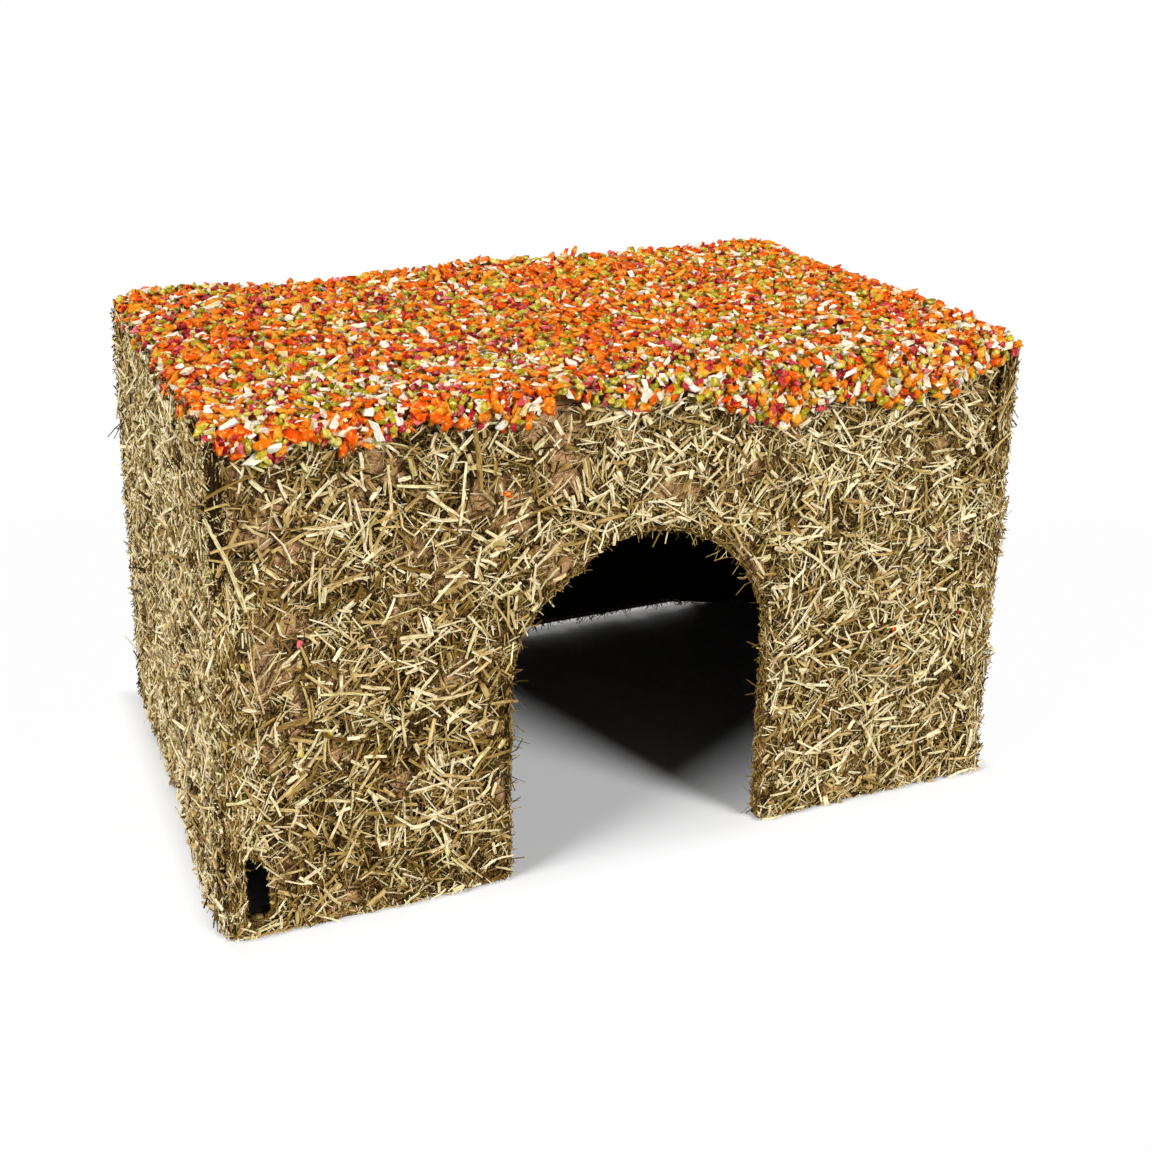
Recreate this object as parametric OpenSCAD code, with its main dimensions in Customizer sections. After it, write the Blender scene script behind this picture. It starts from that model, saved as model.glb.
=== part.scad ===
// Hay hideout for small pets: kraft boards faced with pressed hay, an arched doorway in
// front, and a roof of dried vegetable flakes set in paste. There is no floor board.
// Millimetres, +Z up, +Y towards the back, origin on the floor under the middle of the house.

/* [House] */
// Width across the hay faces of the two side walls
house_w = 340; // [260:1:420]
// Depth across the hay faces of the front and back walls
house_d = 202; // [160:1:300]
// Height of the wall boards, from the floor to the underside of the roof board
wall_h = 197; // [175:1:260]

/* [Boards and hay] */
// Thickness of the kraft boards
board_t = 2; // [1.5:0.1:4]
// Thickness of the pressed hay on the walls
hay_t = 3.5; // [3:0.1:8]

/* [Doorway] */
// Width of the arched doorway
door_w = 117; // [80:1:150]
// Height of the doorway at the crown of its arch
door_h = 143; // [110:1:155]

/* [Corners] */
// Slit between a side board and the end of the front or back wall
corner_gap = 4; // [1:0.1:5]
// Height at which a front corner's seam of hay and paste starts
seam_low = 34; // [30:1:60]
// Height at which a back corner's seam starts
back_seam_low = 0; // [0:1:60]
// Height at which a corner seam of hay and paste ends
seam_high = 156; // [110:1:165]
// Radius of the fillet of a seam or glue bead inside a corner
bead_r = 5; // [3:0.5:8]
// Width of the torn notch at the foot of the front wall's left end
notch_w = 5; // [2:0.5:10]
// Height of the notch's lower edge
notch_low = 8; // [4:1:12]
// Height of the notch
notch_h = 22; // [10:1:24]
// Height of the space under the back wall
back_rise = 8; // [3:1:14]

/* [Roof] */
// Thickness of the paste bed on the roof board
paste_t = 3.5; // [2:0.1:6]
// Height of the paste lip that folds over the front and back edges
lip_h = 14; // [10:1:24]
// Radius of the folded edge of the paste
edge_r = 6; // [4:0.5:9]
// Width of the hay edge left bare at each side of the paste
bare_rim = 3; // [0:0.5:4]

/* [Vegetable flakes] */
// Distance between neighbouring flakes
flake_pitch = 10.5; // [10:0.5:16]
// Least gap between neighbouring flakes
flake_gap = 0.3; // [0.2:0.1:1]
// Diameter of a carrot slice
carrot_d = 8; // [5:0.5:8.5]
// Thickness of a carrot slice
carrot_t = 3; // [1.5:0.1:4]
// Diameter of a pea flake
pea_d = 7; // [4:0.5:8.5]
// Thickness of a pea flake
pea_t = 2.6; // [1.5:0.1:4]
// Length of a parsnip chip
parsnip_l = 7.8; // [5:0.1:8]
// Width of a parsnip chip
parsnip_w = 3.2; // [2:0.1:4]
// Thickness of a parsnip chip
parsnip_t = 2.2; // [1.5:0.1:4]
// Diameter of a beetroot bit
beetroot_d = 6; // [4:0.5:8]
// Thickness of a beetroot bit
beetroot_t = 3.6; // [2:0.1:4.5]
// Share of carrot among the flakes, in percent
carrot_share = 46; // [20:1:60]
// Share of pea among the flakes, in percent
pea_share = 25; // [10:1:30]

/* [Stems] */
// Length of the longest stems on the walls
stem_l = 16; // [12:1:24]
// Thickness of a stem across its flats
stem_t = 1.8; // [1:0.1:3]
// Length of the wall that each stem has to itself
stem_pitch_u = 16; // [14:1:40]
// Height of the wall that each stem has to itself
stem_pitch_v = 9; // [8:1:24]
// Share of a pressed stem's thickness that stands proud of the hay, in percent
proud_share = 75; // [30:5:85]
// One stem in so many lies loose, the others are pressed into the hay
loose_every = 3; // [2:1:6]

/* [Hidden] */
$fn = 48;
LEFT = -1;
RIGHT = 1;
FRONT = -1;
BACK = 1;
CARROT = 0;
PEA = 1;
PARSNIP = 2;
BEETROOT = 3;
LOOSE = 0;
PRESSED = 1;

KRAFT = [0.62, 0.46, 0.29];
HAY = [0.66, 0.57, 0.36];
STEM = [0.84, 0.76, 0.52];
PASTE = [0.86, 0.82, 0.66];
SEAM = [0.50, 0.42, 0.25];
GLUE = [0.80, 0.70, 0.52];
FLAKE_COLOURS = [[0.95, 0.36, 0.06], [0.56, 0.62, 0.14], [0.96, 0.93, 0.84], [0.55, 0.08, 0.22]];

half_w = house_w / 2;
half_d = house_d / 2;
panel_t = board_t + hay_t;
side_out = half_w - hay_t;            // outer face of a side board
side_in = side_out - board_t;         // inner face of a side board
end_out = half_d - hay_t;             // outer face of the front or back board
end_in = end_out - board_t;           // inner face of the front or back board
end_half_w = side_in - corner_gap;    // half the length of the front or back wall
roof_top = wall_h + board_t;
paste_top = roof_top + paste_t;
lip_low = roof_top - lip_h;
door_r = door_w / 2;
spring_z = door_h - door_r;           // height where the doorway's arch springs
through = 1;                          // how far a cut passes the face it leaves
flake_reach = max(carrot_d, pea_d, beetroot_d, norm([parsnip_l, parsnip_w]));
flake_stray = max(0, (flake_pitch - flake_reach - flake_gap) / 2);
flake_edge = flake_reach / 2 + flake_stray; // least distance of a flake's place from an edge
stem_edge = 2;                        // least distance of a stem from an edge
press_h = stem_t * proud_share / 100; // height of a pressed stem over the hay
stem_side_seed = 300;
stem_end_seed = 700;
roof_seed = 1000;
lip_seed = 5000;

// Shared shapes

// A box between its lowest and highest corners.
module block(low, high) {
    translate(low) cube(high - low);
}

// Children are drawn for the left side, and mirrored for the right.
module on_side(side) {
    if (side == LEFT) children();
    else mirror([1, 0, 0]) children();
}

// Children are drawn for the front, and mirrored for the back.
module on_end(end) {
    if (end == FRONT) children();
    else mirror([0, 1, 0]) children();
}

// The doorway in the plane of the front wall: straight jambs under a half circle.
module doorway_outline() {
    translate([-door_r, -through]) square([door_w, spring_z + through]);
    translate([0, spring_z]) circle(door_r);
}

// What is cut out of the front board and its hay alike.
module front_cuts() {
    rotate([90, 0, 0]) linear_extrude(half_d + through) doorway_outline();
    block([-end_half_w - through, -half_d - through, notch_low],
          [-end_half_w + notch_w, through, notch_low + notch_h]);
}

// The space between the floor and the lower edge of the back wall, in the plane of that wall.
module back_space() {
    foot = 12;  // length of the wall that still stands on the floor at each end
    slope = 30; // length over which the lower edge rises
    block_y = half_d + through;
    translate([0, block_y, 0]) rotate([90, 0, 0]) linear_extrude(block_y)
        polygon([[-end_half_w + foot, -through], [-end_half_w + foot, 0],
                 [-end_half_w + foot + slope, back_rise], [end_half_w - foot - slope, back_rise],
                 [end_half_w - foot, 0], [end_half_w - foot, -through]]);
}

// A concave fillet between the planes x = 0 and y = 0.
module fillet_outline() {
    difference() {
        square(bead_r);
        translate([bead_r, bead_r]) circle(bead_r);
    }
}

// Boards

module front_board() color(KRAFT) difference() {
    block([-end_half_w, -end_out, 0], [end_half_w, -end_in, wall_h]);
    front_cuts();
}

module back_board() color(KRAFT) difference() {
    block([-end_half_w, end_in, 0], [end_half_w, end_out, wall_h]);
    back_space();
}

module side_board(side) color(KRAFT) on_side(side)
    block([-side_out, -half_d, 0], [-side_in, half_d, wall_h]);

module roof_board() color(KRAFT)
    block([-side_out, -end_out, wall_h], [side_out, end_out, roof_top]);

// Pressed hay on the outer face of each wall board, with the stems pressed into it

module front_hay() color(HAY) {
    difference() {
        block([-end_half_w, -half_d, 0], [end_half_w, -end_out, lip_low]);
        front_cuts();
    }
    end_wall_stems(FRONT, PRESSED);
}

module back_hay() color(HAY) {
    difference() {
        block([-end_half_w, end_out, 0], [end_half_w, half_d, lip_low]);
        back_space();
    }
    end_wall_stems(BACK, PRESSED);
}

module side_hay(side) color(HAY) {
    on_side(side) block([-half_w, -half_d, 0], [-side_out, half_d, roof_top]);
    side_wall_stems(side, PRESSED);
}

// Seams of hay and paste that hold the upright corners, and glue beads under the roof board

module corner_seam(side, end) color(SEAM) on_side(side) on_end(end) {
    start_z = end == FRONT ? seam_low : back_seam_low;
    translate([-side_in, 0, start_z]) linear_extrude(seam_high - start_z) {
        translate([0, -half_d]) square([corner_gap, panel_t]);
        translate([0, -end_in]) fillet_outline();
    }
}

// The bead between the roof board and the front or back board, along X.
module roof_end_glue(end) color(GLUE) on_end(end)
    translate([-end_half_w, -end_in, wall_h]) rotate([90, 0, 90])
        linear_extrude(2 * end_half_w) mirror([0, 1]) fillet_outline();

// The bead between the roof board and a side board, along Y, clear of the other two beads.
module roof_side_glue(side) color(GLUE) on_side(side)
    translate([-side_in, end_in - bead_r, wall_h]) rotate([90, 0, 0])
        linear_extrude(2 * (end_in - bead_r)) mirror([0, 1]) fillet_outline();

// Paste bed of the roof, with a lip folded over the front and back edges

// The rounded outside of the paste, across the house from front to back.
module paste_outline() {
    round_y = half_d - edge_r;
    round_z = paste_top - edge_r;
    translate([-half_d, lip_low]) square([house_d, round_z - lip_low]);
    translate([-round_y, lip_low]) square([2 * round_y, paste_top - lip_low]);
    for (y = [-round_y, round_y]) translate([y, round_z]) circle(edge_r);
}

// A length of the rounded outside, from the middle of the house to both sides.
module paste_length(half_length) {
    translate([-half_length, 0, 0]) rotate([90, 0, 90]) linear_extrude(2 * half_length) paste_outline();
}

module roof_paste() color(PASTE) {
    slab_half_w = half_w - bare_rim;
    intersection() {
        paste_length(slab_half_w);
        block([-slab_half_w, -half_d, roof_top], [slab_half_w, half_d, paste_top]);
    }
    for (end = [FRONT, BACK]) intersection() {
        paste_length(end_half_w);
        on_end(end) block([-end_half_w, -half_d, lip_low], [end_half_w, -end_out, roof_top]);
    }
}

// Vegetable flakes in loose rows on the roof and along both lips

// The kind of a flake, from a number between 0 and 100.
function flake_kind(draw) =
    draw < carrot_share ? CARROT
    : draw < carrot_share + pea_share ? PEA
    : draw < carrot_share + pea_share + (100 - carrot_share - pea_share) * 0.58 ? PARSNIP
    : BEETROOT;

// One flake lying flat, on the plane z = 0.
module flake(kind) {
    if (kind == CARROT) cylinder(d = carrot_d, h = carrot_t);
    if (kind == PEA) cylinder(d1 = pea_d, d2 = 0.7 * pea_d, h = pea_t);
    if (kind == PARSNIP)
        translate([-parsnip_l / 2, -parsnip_w / 2, 0]) cube([parsnip_l, parsnip_w, parsnip_t]);
    if (kind == BEETROOT) cylinder(d = beetroot_d, h = beetroot_t, $fn = 5);
}

// The flakes of one kind in staggered rows on the plane z = 0, centred on the origin. The places
// lie within the given half length and half width.
module flake_field(kind, half_u, half_v, seed) {
    row_pitch = flake_pitch * sin(60);
    last_row = floor(2 * half_v / row_pitch);
    for (j = [0 : last_row]) {
        row_half_u = half_u - (j % 2) * flake_pitch / 2;
        last_place = floor(2 * row_half_u / flake_pitch + 0.001) - (j % 2);
        for (i = [0 : last_place]) {
            draws = rands(0, 1, 4, seed + 97 * i + j);
            if (flake_kind(100 * draws[0]) == kind)
                translate([-half_u + (i + (j % 2) / 2) * flake_pitch + flake_stray * (2 * draws[1] - 1),
                           (j - last_row / 2) * row_pitch + flake_stray * (2 * draws[2] - 1), 0])
                    rotate(360 * draws[3]) flake(kind);
        }
    }
}

module flakes(kind) color(FLAKE_COLOURS[kind]) {
    translate([0, 0, paste_top])
        flake_field(kind, half_w - bare_rim - flake_edge, half_d - edge_r - flake_edge, roof_seed);
    for (end = [FRONT, BACK]) on_end(end)
        translate([0, -half_d, (lip_low + paste_top - edge_r) / 2]) rotate([90, 0, 0])
            flake_field(kind, end_half_w - flake_edge, 0, lip_seed);
}

// Stems of each wall: some lie loose on the hay, the others are pressed into it

// The kind of the stem in one oblong of a wall.
function stem_kind(i, j) = (i + j) % loose_every == 0 ? LOOSE : PRESSED;

// Height of the front or back wall's lower edge.
function end_low(end) = end == BACK ? back_rise : 0;

// Children are drawn on the plane z = 0, with (0, 0) at the middle of the wall's lower edge.
module on_end_wall(end)
    translate([0, end * half_d, end_low(end)]) rotate([90, 0, end == FRONT ? 0 : 180]) children();

module on_side_wall(side)
    translate([side * half_w, 0, 0]) rotate([90, 0, 90 * side]) children();

// True where a stem of this half length at (u, v) on the front wall clears the doorway and the notch.
function clears_door(u, v, reach) =
    (v < spring_z ? abs(u) : norm([u, v - spring_z])) > door_r + reach
    && (u - reach > -end_half_w + notch_w || v - reach > notch_low + notch_h || v + reach < notch_low);

// One stem that stands this high above the plane z = 0: a prism lying on a flat, centred on the origin.
module stem(length, height) {
    across_corners = stem_t / cos(30);
    translate([-length / 2, 0, height - stem_t / 2]) rotate([0, 90, 0]) rotate(30)
        cylinder(d = across_corners, h = length, $fn = 6);
}

// The loose or pressed stems of a wall of this size, each in its own oblong of the wall. With
// has_door set, stems that would cross the doorway are left out.
module stem_field(field_u, field_v, kind, seed, has_door = false) {
    count_u = floor((field_u - 2 * stem_edge) / stem_pitch_u);
    count_v = floor((field_v - 2 * stem_edge) / stem_pitch_v);
    room_u = stem_pitch_u - 2 * stem_t;
    room_v = stem_pitch_v - 2 * stem_t;
    for (i = [0 : count_u - 1], j = [0 : count_v - 1]) if (stem_kind(i, j) == kind) {
        draws = rands(0, 1, 2, seed + 89 * i + j);
        angle = 180 * draws[0] - 90;
        whole = stem_l * (0.6 + 0.4 * draws[1]);
        length = min(whole, room_u / max(abs(cos(angle)), 0.01), room_v / max(abs(sin(angle)), 0.01));
        u = (i - (count_u - 1) / 2) * stem_pitch_u;
        v = stem_edge + (j + 0.5) * stem_pitch_v;
        if (!has_door || clears_door(u, v, length / 2 + stem_t))
            translate([u, v, 0]) rotate(angle) stem(length, kind == LOOSE ? stem_t : press_h);
    }
}

module end_wall_stems(end, kind) on_end_wall(end)
    stem_field(2 * end_half_w, lip_low - end_low(end), kind, stem_end_seed + end, end == FRONT);

module side_wall_stems(side, kind) on_side_wall(side)
    stem_field(house_d, roof_top, kind, stem_side_seed + side);

module end_stems(end) color(STEM) end_wall_stems(end, LOOSE);

module side_stems(side) color(STEM) side_wall_stems(side, LOOSE);

front_board();
back_board();
side_board(LEFT);  // left_board
side_board(RIGHT);  // right_board
roof_board();
front_hay();
back_hay();
side_hay(LEFT);  // left_hay
side_hay(RIGHT);  // right_hay
corner_seam(LEFT, FRONT);  // front_left_seam
corner_seam(RIGHT, FRONT);  // front_right_seam
corner_seam(LEFT, BACK);  // back_left_seam
corner_seam(RIGHT, BACK);  // back_right_seam
roof_end_glue(FRONT);  // roof_front_glue
roof_end_glue(BACK);  // roof_back_glue
roof_side_glue(LEFT);  // roof_left_glue
roof_side_glue(RIGHT);  // roof_right_glue
roof_paste();
flakes(CARROT);  // carrot_flakes
flakes(PEA);  // pea_flakes
flakes(PARSNIP);  // parsnip_chips
flakes(BEETROOT);  // beetroot_bits
end_stems(FRONT);  // front_stems
end_stems(BACK);  // back_stems
side_stems(LEFT);  // left_stems
side_stems(RIGHT);  // right_stems
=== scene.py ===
"""Looks of the hay hideout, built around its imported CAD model: chopped hay pressed on the walls,
dried vegetables on the roof, kraft board between and inside, a white floor and soft lamps."""

import math

import bpy
import numpy as np
from mathutils import Matrix, Vector


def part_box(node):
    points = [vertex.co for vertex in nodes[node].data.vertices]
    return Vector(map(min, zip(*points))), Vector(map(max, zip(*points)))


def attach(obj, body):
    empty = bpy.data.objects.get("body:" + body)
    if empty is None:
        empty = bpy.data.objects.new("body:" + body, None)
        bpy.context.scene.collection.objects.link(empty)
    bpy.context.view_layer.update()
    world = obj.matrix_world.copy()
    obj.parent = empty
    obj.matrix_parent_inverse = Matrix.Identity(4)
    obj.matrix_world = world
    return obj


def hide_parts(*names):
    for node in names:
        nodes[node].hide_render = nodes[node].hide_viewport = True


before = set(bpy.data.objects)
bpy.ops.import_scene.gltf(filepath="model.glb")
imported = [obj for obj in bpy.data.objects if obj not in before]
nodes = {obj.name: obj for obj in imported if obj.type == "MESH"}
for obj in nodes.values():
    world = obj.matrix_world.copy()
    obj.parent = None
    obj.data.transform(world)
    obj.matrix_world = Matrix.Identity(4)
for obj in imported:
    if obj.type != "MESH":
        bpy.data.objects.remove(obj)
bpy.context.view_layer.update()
MM = 0.001


# Sizes in millimetres, the first of them taken from the CAD model


def node_box(name):
    low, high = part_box(name)
    return np.array(low) / MM, np.array(high) / MM


front_low, front_high = node_box("front_board")
left_low, left_high = node_box("left_board")
paste_high = node_box("roof_paste")[1]
END_HALF = front_high[0]  # half the length of the front and back walls
END_OUT = -front_low[1]  # outer face of the front and back boards
END_IN = -front_high[1]  # inner face of the front and back boards
SIDE_OUT = -left_low[0]  # outer face of the side boards
SIDE_IN = -left_high[0]  # inner face of the side boards
HALF_D = -left_low[1]  # face of the hay on the front and back walls
HALF_W = SIDE_OUT + HALF_D - END_OUT  # face of the hay on the side walls
WALL_TOP = front_high[2]
ROOF_TOP = node_box("roof_board")[1][2]
PASTE_TOP = paste_high[2]
PASTE_HALF_W = paste_high[0]
EDGE_R = 3.5  # radius of the edge that the vegetables fold over
DOOR_R = 58.5  # half the doorway's width
DOOR_H = 143.0  # height of the doorway
SPRING = DOOR_H - DOOR_R  # height where its arch springs
NOTCH = (5.0, 8.0, 30.0)  # width, lower edge and upper edge of the corner notch
BACK_RISE = 4.4  # height of the back hay's lower edge over the floor
HAY_TOP = PASTE_TOP - 5.5  # how high the hay of the front and back walls reaches
RIM_TOP = ROOF_TOP + 0.8  # how high the hay of the side walls reaches
CLEAR = 0.8  # the least height of a stem's middle over the floor
FAR = 99.0  # the overhang of a place where no hay may be
UP = np.array([0.0, 0.0, 1.0])


# Fields, draws and groups of arrays

LATTICE = 128  # corners along each side of the noise lattice
ROOF_SHIFT, PATCH_SHIFT, KIND_SHIFT, HAY_SHIFT = 400, 500, 700, 900  # where fields start on it
new_draw = np.random.default_rng


def smooth_step(t):
    return t * t * (3 - 2 * t)


def step_between(value, low, high):
    return smooth_step(np.clip((value - low) / (high - low), 0, 1))


def bell(value, middle, half):
    return np.exp(-(((value - middle) / half) ** 2))


def bells(value, rows):
    """A sum of bells; each row holds a middle, a half width and a height."""
    return sum(height * bell(value, middle, half) for middle, half, height in rows)


def lattice_noise(x, y, shift, cell, seed):
    """Smooth values from 0 to 1, from one draw at each corner of a square lattice."""
    table = new_draw(seed).random((LATTICE, LATTICE))
    gx, gy = (x + shift) / cell, (y + shift) / cell
    i, j = np.floor(gx).astype(int), np.floor(gy).astype(int)
    fx, fy = smooth_step(gx - i), smooth_step(gy - j)
    i, j, next_i, next_j = (k % LATTICE for k in (i, j, i + 1, j + 1))
    low = table[i, j] * (1 - fx) + table[next_i, j] * fx
    high = table[i, next_j] * (1 - fx) + table[next_i, next_j] * fx
    return low * (1 - fy) + high * fy


def drawn_lengths(draw, middle, spread, low, high, count):
    return np.clip(draw.lognormal(math.log(middle), spread, count), low, high)


def drawn_tints(draw, middle, spread, count):
    return np.clip(draw.normal(middle, spread, count), 0, 1)


def columns(*values):
    return np.stack(values, axis=-1)


def unit(vectors):
    return vectors / np.linalg.norm(vectors, axis=-1, keepdims=True)


def joined(*groups):
    return {key: np.concatenate([group[key] for group in groups]) for key in groups[0]}


def picked(group, keep):
    return {key: values[keep] for key, values in group.items()}


# Mesh pieces

FLOOR_LOW, FLOOR_STEP, FLOOR_STEPS = 0.05, 0.02, 7  # heights of points set on the floor
END_TAPER = 0.3  # how much narrower the ends of a fully tapered stem are


def add_object(name, data):
    made = bpy.data.objects.new(name, data)
    bpy.context.scene.collection.objects.link(made)
    return made


def add_piece(name, points, faces, corner_uv, tint, grain, material, smooth, replaced=()):
    """One object of many small closed forms. faces is a list of index arrays, one for each number
    of corners; corner_uv follows the same order; tint and grain are stored on the points."""
    mesh = bpy.data.meshes.new(name)
    mesh.vertices.add(len(points))
    mesh.vertices.foreach_set("co", (points * MM).astype(np.float32).ravel())
    corners = np.concatenate([group.ravel() for group in faces])
    sizes = np.concatenate([np.full(len(group), group.shape[1]) for group in faces])
    starts = np.concatenate([[0], np.cumsum(sizes)[:-1]])
    mesh.loops.add(len(corners))
    mesh.loops.foreach_set("vertex_index", corners.astype(np.int32))
    mesh.polygons.add(len(sizes))
    mesh.polygons.foreach_set("loop_start", starts.astype(np.int32))
    mesh.polygons.foreach_set("use_smooth", np.full(len(sizes), smooth))
    mesh.update(calc_edges=True)
    uv_map = mesh.uv_layers.new(name="OFBake")
    uv_map.uv.foreach_set("vector", corner_uv.astype(np.float32).ravel())
    stored = (("tint", "FLOAT", "value", tint), ("grain", "FLOAT_VECTOR", "vector", grain))
    for key, kind, part, values in stored:
        data = mesh.attributes.new(key, kind, "POINT").data
        data.foreach_set(part, values.astype(np.float32).ravel())
    mesh.materials.append(material)
    piece = add_object(name, mesh)
    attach(piece, "root")
    if replaced:
        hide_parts(*replaced)


def cells(count):
    """The lower left corner and the side of one square cell of a map for each of many forms."""
    per_row = math.ceil(math.sqrt(count))
    index = np.arange(count)
    return columns(index % per_row, index // per_row) / per_row, 1 / per_row


def add_stems(name, stems, rings, sides, material, replaced=()):
    """Many stems in one object, each a closed tube of flat section along a gentle bow. stems holds
    arrays: centre, along, across, length, width, thick, bow, lift, taper and tint."""
    centre, along, across = stems["centre"], unit(stems["along"]), stems["across"]
    across = unit(across - along * np.sum(along * across, axis=1, keepdims=True))
    up = np.cross(along, across)
    count = len(centre)
    t = np.linspace(-0.5, 0.5, rings)
    arc = 1 - 4 * t * t
    axis = centre[:, None, :]
    for way, key, profile in ((along, "length", t), (across, "bow", arc), (up, "lift", arc)):
        axis = axis + way[:, None, :] * (stems[key][:, None] * profile)[:, :, None]
    start = math.pi / 4 if sides == 4 else 0.0
    phi = start + np.arange(sides) * 2 * math.pi / sides
    taper = 1 - END_TAPER * np.abs(2 * t)[None, :] * stems["taper"][:, None]
    points = axis[:, :, None, :]
    for way, key, profile in ((across, "width", np.cos(phi)), (up, "thick", np.sin(phi))):
        half = (stems[key] / 2)[:, None] * taper
        points = points + way[:, None, None, :] * (half[:, :, None] * profile)[:, :, :, None]
    points = points.reshape(-1, 3)
    floor = FLOOR_LOW + FLOOR_STEP * (np.arange(len(points)) % FLOOR_STEPS)
    points[:, 2] = np.maximum(points[:, 2], floor)

    ring, m = np.meshgrid(np.arange(rings - 1), np.arange(sides), indexing="ij")
    ring, m = ring.ravel(), m.ravel()
    low, high, after = ring * sides, (ring + 1) * sides, (m + 1) % sides
    wall = columns(low + m, low + after, high + after, high + m)
    ends = np.stack([np.arange(sides)[::-1], (rings - 1) * sides + np.arange(sides)])
    base = (np.arange(count) * rings * sides)[:, None, None]
    faces = [(base + wall).reshape(-1, 4), (base + ends).reshape(-1, sides)]

    corner, side = cells(count)
    wall_u = columns(m, m + 1, m + 1, m) / sides * 0.84 + 0.08
    wall_v = 0.12 + 0.76 / (rings - 1) * columns(ring, ring, ring + 1, ring + 1)
    ring_u, ring_v = 0.5 + 0.3 * np.cos(phi), 0.045 * np.sin(phi)
    ends_u = np.stack([ring_u[::-1], ring_u])
    ends_v = np.stack([0.05 + ring_v[::-1], 0.95 + ring_v])
    corner_uv = np.concatenate([
        (corner[:, None, None, :] + side * np.stack(uv, axis=2)).reshape(-1, 2)
        for uv in ((wall_u, wall_v), (ends_u, ends_v))
    ])

    tint = np.repeat(stems["tint"], rings * sides)
    grain = np.empty((count, rings, sides, 3))
    grain[...] = (new_draw(count).random((count, 3)) * 90)[:, None, None, :]
    grain[..., 0] += np.abs(np.sin(phi / 2)) * 3.0
    grain[..., 1] += (stems["length"][:, None] * t)[:, :, None] * 0.16
    grain = grain.reshape(-1, 3)
    add_piece(name, points, faces, corner_uv, tint, grain, material, False, replaced)


def add_sheet(name, outer, inner, cell, across, rise, tint, grain, material, replaced):
    """One closed sheet over a grid of points: the outer and inner faces of the cells that are kept,
    and walls along their edges. across and rise run from 0 to 1 over the grid, for the bake map."""
    count = across.size
    index = np.arange(count).reshape(across.shape)
    quads = columns(index[:-1, :-1], index[1:, :-1], index[1:, 1:], index[:-1, 1:])
    padded = np.pad(cell, 1)
    beside = (padded[1:-1, :-2], padded[2:, 1:-1], padded[1:-1, 2:], padded[:-2, 1:-1])
    face = quads[cell]
    walls = []
    for first, near in enumerate(beside):
        edge = quads[cell & ~near]
        p, q = edge[:, first], edge[:, (first + 1) % 4]
        walls.append(columns(q, p, p + count, q + count))
    quads = np.concatenate([face, face[:, ::-1] + count, *walls])
    used, quads = np.unique(quads, return_inverse=True)
    quads = quads.reshape(-1, 4)
    points = np.concatenate([outer.reshape(-1, 3), inner.reshape(-1, 3)])[used]
    a, b, tint = (np.tile(values.ravel(), 2)[used] for values in (across, rise, tint))
    grain = np.tile(grain.reshape(-1, 3), (2, 1))[used]
    shown = columns(0.01 + 0.92 * a, 0.01 + 0.98 * b)
    hidden = columns(0.95 + 0.02 * a, 0.01 + 0.98 * b)
    rim = columns(np.where(used < count, 0.984, 0.994), 0.01 + 0.49 * (a + b))
    front, back, edges = np.split(quads, [len(face), 2 * len(face)])
    corner_uv = np.concatenate([shown[front], hidden[back], rim[edges]]).reshape(-1, 2)
    add_piece(name, points, [quads], corner_uv, tint, grain, material, True, replaced)


# Materials


def srgb(red, green, blue):
    """A colour written as 0 to 255 on screen, as the linear values that shaders take."""
    shares = (red / 255, green / 255, blue / 255)
    return *(v / 12.92 if v <= 0.04045 else ((v + 0.055) / 1.055) ** 2.4 for v in shares), 1


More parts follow.
